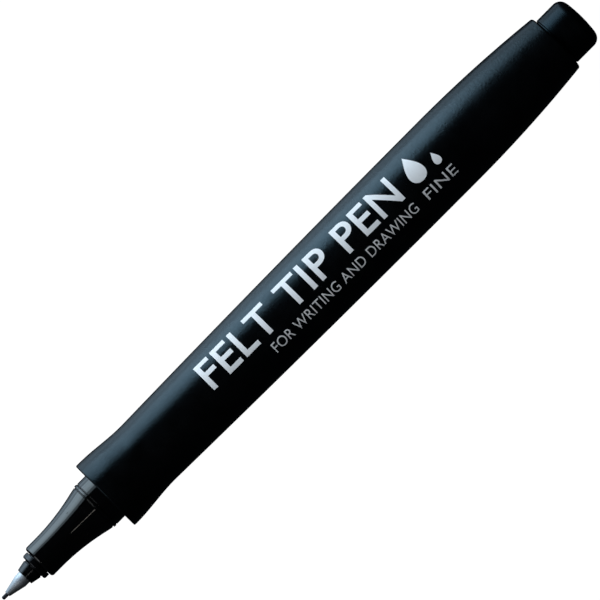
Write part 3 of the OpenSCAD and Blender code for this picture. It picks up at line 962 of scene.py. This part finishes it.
def film_surface():
    """A thin tube round the reservoir."""
    front, back, radius = reach("reservoir_film")
    _, _, inner = reach("reservoir_core")
    return lathe(profile([(front, inner), (front, radius), (back, radius), (back, inner)]), around(128))


def tube_surface(shape):
    """A thin straw beside the axis: a turned tube moved up to its own place."""
    front, back, radius = reach("breather_tube")
    inner = radius - shape.tube_wall
    wall = profile([(front, inner), (front, radius), (back, radius), (back, inner)])
    points, faces = lathe(wall, around(48))
    return points + [0, 0, lift_of("breather_tube")], faces


# Print

def letters(text, width, height, weight=0.0):
    """Flat outlines of a line of text, filled with triangles, stretched to a width and a capital height.

    The letters are sliced by level lines, so that they can bend round the barrel.
    """
    curve = bpy.data.curves.new("lettering", "FONT")
    curve.body = text
    curve.offset = weight
    curve.space_character = 1.04
    curve.resolution_u = 8
    source = bpy.data.objects.new("lettering", curve)
    bpy.context.scene.collection.objects.link(source)
    bpy.context.view_layer.update()
    flat = bpy.data.meshes.new_from_object(source.evaluated_get(bpy.context.evaluated_depsgraph_get()))
    bpy.data.objects.remove(source)
    bpy.data.curves.remove(curve)
    points = np.empty(len(flat.vertices) * 3)
    flat.vertices.foreach_get("co", points)
    points = points.reshape(-1, 3)
    points -= points.min(axis=0)
    points *= np.array([width, height, 0]) / np.maximum(points.max(axis=0), 1e-6)
    flat.vertices.foreach_set("co", points.ravel())
    return sliced(flat, height)


def sliced(flat, height, levels=18):
    """Points and triangles of a flat mesh cut along level lines."""
    work = bmesh.new()
    work.from_mesh(flat)
    bmesh.ops.remove_doubles(work, verts=work.verts, dist=1e-7)
    for level in np.linspace(0, height, levels)[1:-1]:
        geometry = [*work.verts, *work.edges, *work.faces]
        bmesh.ops.bisect_plane(work, geom=geometry, plane_co=(0, level, 0), plane_no=(0, 1, 0))
    bmesh.ops.triangulate(work, faces=work.faces)
    work.to_mesh(flat)
    work.free()
    points = np.empty(len(flat.vertices) * 3)
    flat.vertices.foreach_get("co", points)
    triangles = np.empty(len(flat.loops), np.int32)
    flat.loops.foreach_get("vertex_index", triangles)
    bpy.data.meshes.remove(flat)
    return points.reshape(-1, 3)[:, :2], triangles.reshape(-1, 3)


def drop(height, girth=0.42):
    """An ink drop standing on its round end: x = girth h sin t sin(t / 2)^1.5, y = h (1 + cos t) / 2."""
    t = np.linspace(0, FULL_TURN, 97)[:-1]
    x = girth * height * np.sin(t) * np.abs(np.sin(t / 2)) ** 1.5
    y = height * (1 + np.cos(t)) / 2
    flat = bpy.data.meshes.new("drop")
    flat.from_pydata(np.column_stack([x - x.min(), y, np.zeros_like(y)]).tolist(), [], [list(range(len(t)))])
    return sliced(flat, height)


def printed(outline, start, base, shape, barrel):
    """Flat letters laid on the barrel as a thin closed layer: u runs along X and v round the axis, so a point
    lies at x = start + u, -r sin t, r cos t with t = -(base + v) / r."""
    flat, triangles = outline
    front, _, _ = reach("barrel")
    x = front + start + flat[:, 0]
    ground = barrel_radius(x, barrel)
    angle = (base + flat[:, 1]) / ground
    layers = [
        np.column_stack([x, (ground + lift) * np.sin(angle), AXIS_Z + (ground + lift) * np.cos(angle)])
        for lift in (shape.thickness, -shape.sink)
    ]
    count = len(flat)
    directed = np.vstack([triangles[:, [0, 1]], triangles[:, [1, 2]], triangles[:, [2, 0]]])
    forward = directed[:, 0] * count + directed[:, 1]
    backward = directed[:, 1] * count + directed[:, 0]
    rim = directed[~np.isin(forward, backward)]
    walls = np.column_stack([rim[:, 1], rim[:, 0], rim[:, 0] + count, rim[:, 1] + count])
    return outward(np.vstack(layers), [triangles, triangles[:, ::-1] + count, walls])


# Operators

class MARKER_OT_barrel(Operator):
    """Builds the barrel"""

    bl_idname = "marker.barrel"
    bl_label = "Barrel"

    def execute(self, context):
        scene = context.scene
        surface = barrel_surface(scene.marker_barrel)
        material = matte_moulding(scene.marker_finish)
        make_piece("barrel_body", surface, material, "barrel", ["barrel"])
        return {"FINISHED"}


class MARKER_OT_front_section(Operator):
    """Builds the glossy front section"""

    bl_idname = "marker.front_section"
    bl_label = "Front section"

    def execute(self, context):
        scene = context.scene
        surface = section_surface(scene.marker_section, scene.marker_point.tail_radius)
        material = polished_moulding(scene.marker_finish)
        make_piece("glossy_section", surface, material, "nib_unit", ["front_section"])
        return {"FINISHED"}


class MARKER_OT_point(Operator):
    """Builds the tip holder, the metal sleeve and the nib"""

    bl_idname = "marker.point"
    bl_label = "Tip holder, sleeve and nib"

    def execute(self, context):
        shape = context.scene.marker_point
        finish = context.scene.marker_finish
        rows = [
            ("stepped_holder", holder_surface(shape), satin_moulding(finish), "nose_black", "tip_holder"),
            ("steel_sleeve", sleeve_surface(shape), drawn_steel(finish), "sleeve_steel", "metal_sleeve"),
            ("porous_nib", nib_surface(shape), porous_nib(finish), "nib", "nib"),
        ]
        for name, surface, material, slot, node in rows:
            make_piece(name, surface, material, "nib_unit", [node])
        return {"FINISHED"}


class MARKER_OT_ink_system(Operator):
    """Builds the wick, the reservoir, its film and the breather tube"""

    bl_idname = "marker.ink_system"
    bl_label = "Ink system"

    def execute(self, context):
        shape = context.scene.marker_ink
        finish = context.scene.marker_finish
        wick = bonded_fibre("wick_bonded_fibre", finish.wick, dry=3.0)
        core = bonded_fibre("reservoir_bonded_fibre", finish.reservoir, dry=5.0)
        film = clear_wrap("film_clear_plastic", finish.film, ripple=0.0025)
        straw = clear_wrap("straw_clear_plastic", finish.breather, ripple=0.001)
        rows = [
            ("fibre_wick", wick_surface(shape), wick, "nib_unit", "wick", "wick"),
            ("fibre_reservoir", reservoir_surface(shape), core, "barrel", "reservoir", "reservoir_core"),
            ("film_wrap", film_surface(), film, "barrel", "film", "reservoir_film"),
            ("breather_straw", tube_surface(shape), straw, "barrel", "breather", "breather_tube"),
        ]
        for name, surface, material, body, slot, node in rows:
            make_piece(name, surface, material, body, [node])
        return {"FINISHED"}


class MARKER_OT_end_plug(Operator):
    """Builds the end plug"""

    bl_idname = "marker.end_plug"
    bl_label = "End plug"

    def execute(self, context):
        scene = context.scene
        surface = plug_surface(scene.marker_plug)
        material = satin_plug(scene.marker_finish)
        make_piece("rounded_plug", surface, material, "end_plug", ["end_plug"])
        return {"FINISHED"}


class MARKER_OT_print(Operator):
    """Builds the generic words and the two ink drops printed on the barrel"""

    bl_idname = "marker.print"
    bl_label = "Print"

    def execute(self, context):
        shape = context.scene.marker_print
        barrel = context.scene.marker_barrel
        ink = pad_print(context.scene.marker_finish)
        title = letters(shape.title, shape.title_width, shape.title_height, shape.title_weight)
        note = letters(shape.note, shape.note_width, shape.note_height)
        grade = letters(shape.grade, shape.grade_width, shape.note_height)
        large_drop = drop(shape.drop_height)
        small_drop = drop(shape.small_drop_height)
        rows = [
            ("print_title", title, shape.title_start, shape.title_base),
            ("print_note", note, shape.note_start, shape.note_base),
            ("print_grade", grade, shape.grade_start, shape.note_base),
            ("print_drop", large_drop, shape.drop_start, shape.title_base),
            ("print_small_drop", small_drop, shape.small_drop_start, shape.title_base),
        ]
        for name, outline, start, base in rows:
            make_piece(name, printed(outline, start, base, shape, barrel), ink, "barrel")
        return {"FINISHED"}


def lamp(name, towards, distance, size, radiance, tint, middle=0.0):
    """A soft rectangular light that lies in the given direction from the marker and faces it.

    Its size is along and across the marker's axis, and middle shifts it along the axis. Its power is pi times
    its radiance and its area, as an even surface gives off.
    """
    light = bpy.data.lights.new(name, "AREA")
    light.shape = "RECTANGLE"
    light.size, light.size_y = size
    light.color = tint
    light.energy = radiance * math.pi * size[0] * size[1]
    stand = bpy.data.objects.new(name, light)
    bpy.context.scene.collection.objects.link(stand)
    away = Vector(towards).normalized()
    across = away.cross((1, 0, 0)).normalized()
    turn = Matrix((across.cross(away), across, away)).transposed().to_4x4()
    stand.matrix_world = Matrix.Translation(away * distance + Vector((middle, 0, AXIS_Z))) @ turn
    stand.visible_camera = False
    return stand


def softbox(name, top, bottom, stretch, radiance, stage):
    """A soft light beside the marker that fills the angles between top and bottom, in degrees from straight
    above towards +Y, over a stretch of the axis."""
    front, back = stretch
    angle = math.radians((top + bottom) / 2)
    across = 2 * stage.box_distance * math.tan(math.radians(bottom - top) / 2)
    towards = (0, math.sin(angle), math.cos(angle))
    size = (back - front, across)
    lamp(name, towards, stage.box_distance, size, radiance, tuple(stage.light_tint), (front + back) / 2)


# Stretches of the axis that the softboxes fill: the front and the back place of each.
FRONT = (-0.295, -0.033)
MIDDLE = (-0.033, -0.01)
CENTRE = (-0.01, 0.05)
REAR = (0.05, 0.14)
FAR = (0.14, 0.26)
WHOLE_FRONT = (FRONT[0], CENTRE[1])
WHOLE_REAR = (REAR[0], FAR[1])

# Each row: name, top and bottom angle, stretch, radiance.
SOFTBOXES = (
    ("front_top", 54, 66, FRONT, 1.4),
    ("front_upper", 66, 76, FRONT, 4.4),
    ("front_main", 76, 94, FRONT, 5.3),
    ("front_lower", 94, 108, FRONT, 4.4),
    ("middle_upper", 66, 76, MIDDLE, 0.6),
    ("middle_main", 76, 94, MIDDLE, 2.3),
    ("middle_lower", 94, 108, MIDDLE, 3.0),
    ("centre_top", 54, 66, CENTRE, 8.0),
    ("centre_upper", 66, 76, CENTRE, 8.4),
    ("centre_main", 76, 94, CENTRE, 8.0),
    ("centre_lower", 94, 108, CENTRE, 6.0),
    ("rear_main", 66, 106, REAR, 3.7),
    ("far_main", 70, 106, FAR, 1.1),
    ("front_low", 108, 132, WHOLE_FRONT, 1.9),
    ("rear_low", 106, 134, WHOLE_REAR, 1.0),
    ("front_edge", 132, 150, (FRONT[0], 0.08), 0.6),
)

COOL_LIGHT = (0.84, 0.91, 1.0)
WARM_LIGHT = (1.0, 0.98, 0.96)

# Each row: name, direction, distance, size along and across the axis, radiance, tint, seen in shiny pieces.
LAMPS = (
    ("fill_beyond_nib", (-0.9, 0.31, 0.31), 1.0, (0.9, 0.9), 5.0, COOL_LIGHT, False),
    ("nib_card", (-0.78, 0.30, 0.55), 0.8, (0.5, 0.5), 1.6, COOL_LIGHT, True),
    ("strip", (-0.40, -0.168, 0.90), 1.0, (0.22, 0.02), 7.0, WARM_LIGHT, True),
)


class MARKER_OT_stage(Operator):
    """Builds the pale floor, the soft studio light, the surroundings and the camera"""

    bl_idname = "marker.stage"
    bl_label = "Stage"

    def execute(self, context):
        stage = context.scene.marker_stage
        self.floor(context, stage)
        self.surroundings(context, stage)
        for row in SOFTBOXES:
            softbox(*row, stage)
        for *row, shines in LAMPS:
            lamp(*row).visible_glossy = shines
        self.camera(context, stage)
        context.scene.view_settings.view_transform = "Standard"
        return {"FINISHED"}

    def floor(self, context, stage):
        """Builds a pale square that glows evenly, takes shadows and lights nothing else."""
        half = stage.floor_size / 2
        corners = [(-half, -half, 0), (half, -half, 0), (half, half, 0), (-half, half, 0)]
        mesh = bpy.data.meshes.new("floor")
        mesh.from_pydata(corners, [], [(0, 1, 2, 3)])
        material = bpy.data.materials.new("pale_floor")
        material.use_nodes = True
        nodes, links = material.node_tree.nodes, material.node_tree.links
        nodes.clear()
        output = nodes.new("ShaderNodeOutputMaterial")
        total = nodes.new("ShaderNodeAddShader")
        glow = nodes.new("ShaderNodeEmission")
        matt = nodes.new("ShaderNodeBsdfDiffuse")
        glow.inputs["Strength"].default_value = stage.floor_glow
        matt.inputs["Color"].default_value = (stage.floor_shade,) * 3 + (1,)
        links.new(glow.outputs[0], total.inputs[0])
        links.new(matt.outputs[0], total.inputs[1])
        links.new(total.outputs[0], output.inputs["Surface"])
        mesh.materials.append(material)
        floor = bpy.data.objects.new("floor", mesh)
        context.scene.collection.objects.link(floor)
        floor.visible_diffuse = False
        floor.visible_glossy = False
        floor.visible_transmission = False
        floor.visible_shadow = False

    def surroundings(self, context, stage):
        """Makes a world that looks white to the camera and gives a faint even light."""
        world = bpy.data.worlds.new("studio")
        world.use_nodes = True
        nodes, links = world.node_tree.nodes, world.node_tree.links
        nodes.clear()
        output = nodes.new("ShaderNodeOutputWorld")
        choice = nodes.new("ShaderNodeMixShader")
        path = nodes.new("ShaderNodeLightPath")
        fill = nodes.new("ShaderNodeBackground")
        backdrop = nodes.new("ShaderNodeBackground")
        fill.inputs["Color"].default_value = (*stage.light_tint, 1)
        fill.inputs["Strength"].default_value = stage.fill
        backdrop.inputs["Color"].default_value = (1, 1, 1, 1)
        links.new(path.outputs["Is Camera Ray"], choice.inputs[0])
        links.new(fill.outputs[0], choice.inputs[1])
        links.new(backdrop.outputs[0], choice.inputs[2])
        links.new(choice.outputs[0], output.inputs["Surface"])
        context.scene.world = world

    def camera(self, context, stage):
        """Builds a camera that looks down on the marker's print, rolled so that the nib points down left."""
        data = bpy.data.cameras.new("camera")
        data.lens = data.sensor_width * stage.camera_distance / stage.frame_width
        data.clip_end = stage.view_depth
        camera = bpy.data.objects.new("camera", data)
        context.scene.collection.objects.link(camera)
        turn = Matrix.Rotation(-stage.tilt, 4, "Y") @ Matrix.Rotation(-stage.roll, 4, "Z")
        aim = Vector((stage.aim, 0, AXIS_Z))
        back = turn @ Vector((0, 0, stage.camera_distance))
        camera.matrix_world = Matrix.Translation(aim + back) @ turn
        context.scene.camera = camera


STEPS = (
    MARKER_OT_stage,
    MARKER_OT_barrel,
    MARKER_OT_front_section,
    MARKER_OT_point,
    MARKER_OT_ink_system,
    MARKER_OT_end_plug,
    MARKER_OT_print,
)
SETTINGS = {
    "marker_barrel": BarrelShape,
    "marker_section": SectionShape,
    "marker_point": PointShape,
    "marker_plug": PlugShape,
    "marker_ink": InkShape,
    "marker_print": PrintShape,
    "marker_finish": Finish,
    "marker_stage": Stage,
}


class MARKER_PT_panel(Panel):
    """Lists the marker's pieces"""

    bl_idname = "MARKER_PT_panel"
    bl_label = "Felt Tip Marker"
    bl_space_type = "VIEW_3D"
    bl_region_type = "UI"
    bl_category = "Marker"

    def draw(self, context):
        for step in STEPS:
            self.layout.operator(step.bl_idname)


def register():
    """Registers the settings, the operators and the panel."""
    for settings in SETTINGS.values():
        bpy.utils.register_class(settings)
    for name, settings in SETTINGS.items():
        setattr(bpy.types.Scene, name, PointerProperty(type=settings))
    for step in STEPS:
        bpy.utils.register_class(step)
    bpy.utils.register_class(MARKER_PT_panel)


def unregister():
    """Takes back all that register did, in reverse."""
    bpy.utils.unregister_class(MARKER_PT_panel)
    for step in reversed(STEPS):
        bpy.utils.unregister_class(step)
    for name in SETTINGS:
        delattr(bpy.types.Scene, name)
    for settings in SETTINGS.values():
        bpy.utils.unregister_class(settings)


def main():
    """Builds everything by its operators."""
    register()
    bpy.ops.marker.stage()
    bpy.ops.marker.barrel()
    bpy.ops.marker.front_section()
    bpy.ops.marker.point()
    bpy.ops.marker.ink_system()
    bpy.ops.marker.end_plug()
    bpy.ops.marker.print()


if __name__ == "__main__":
    main()
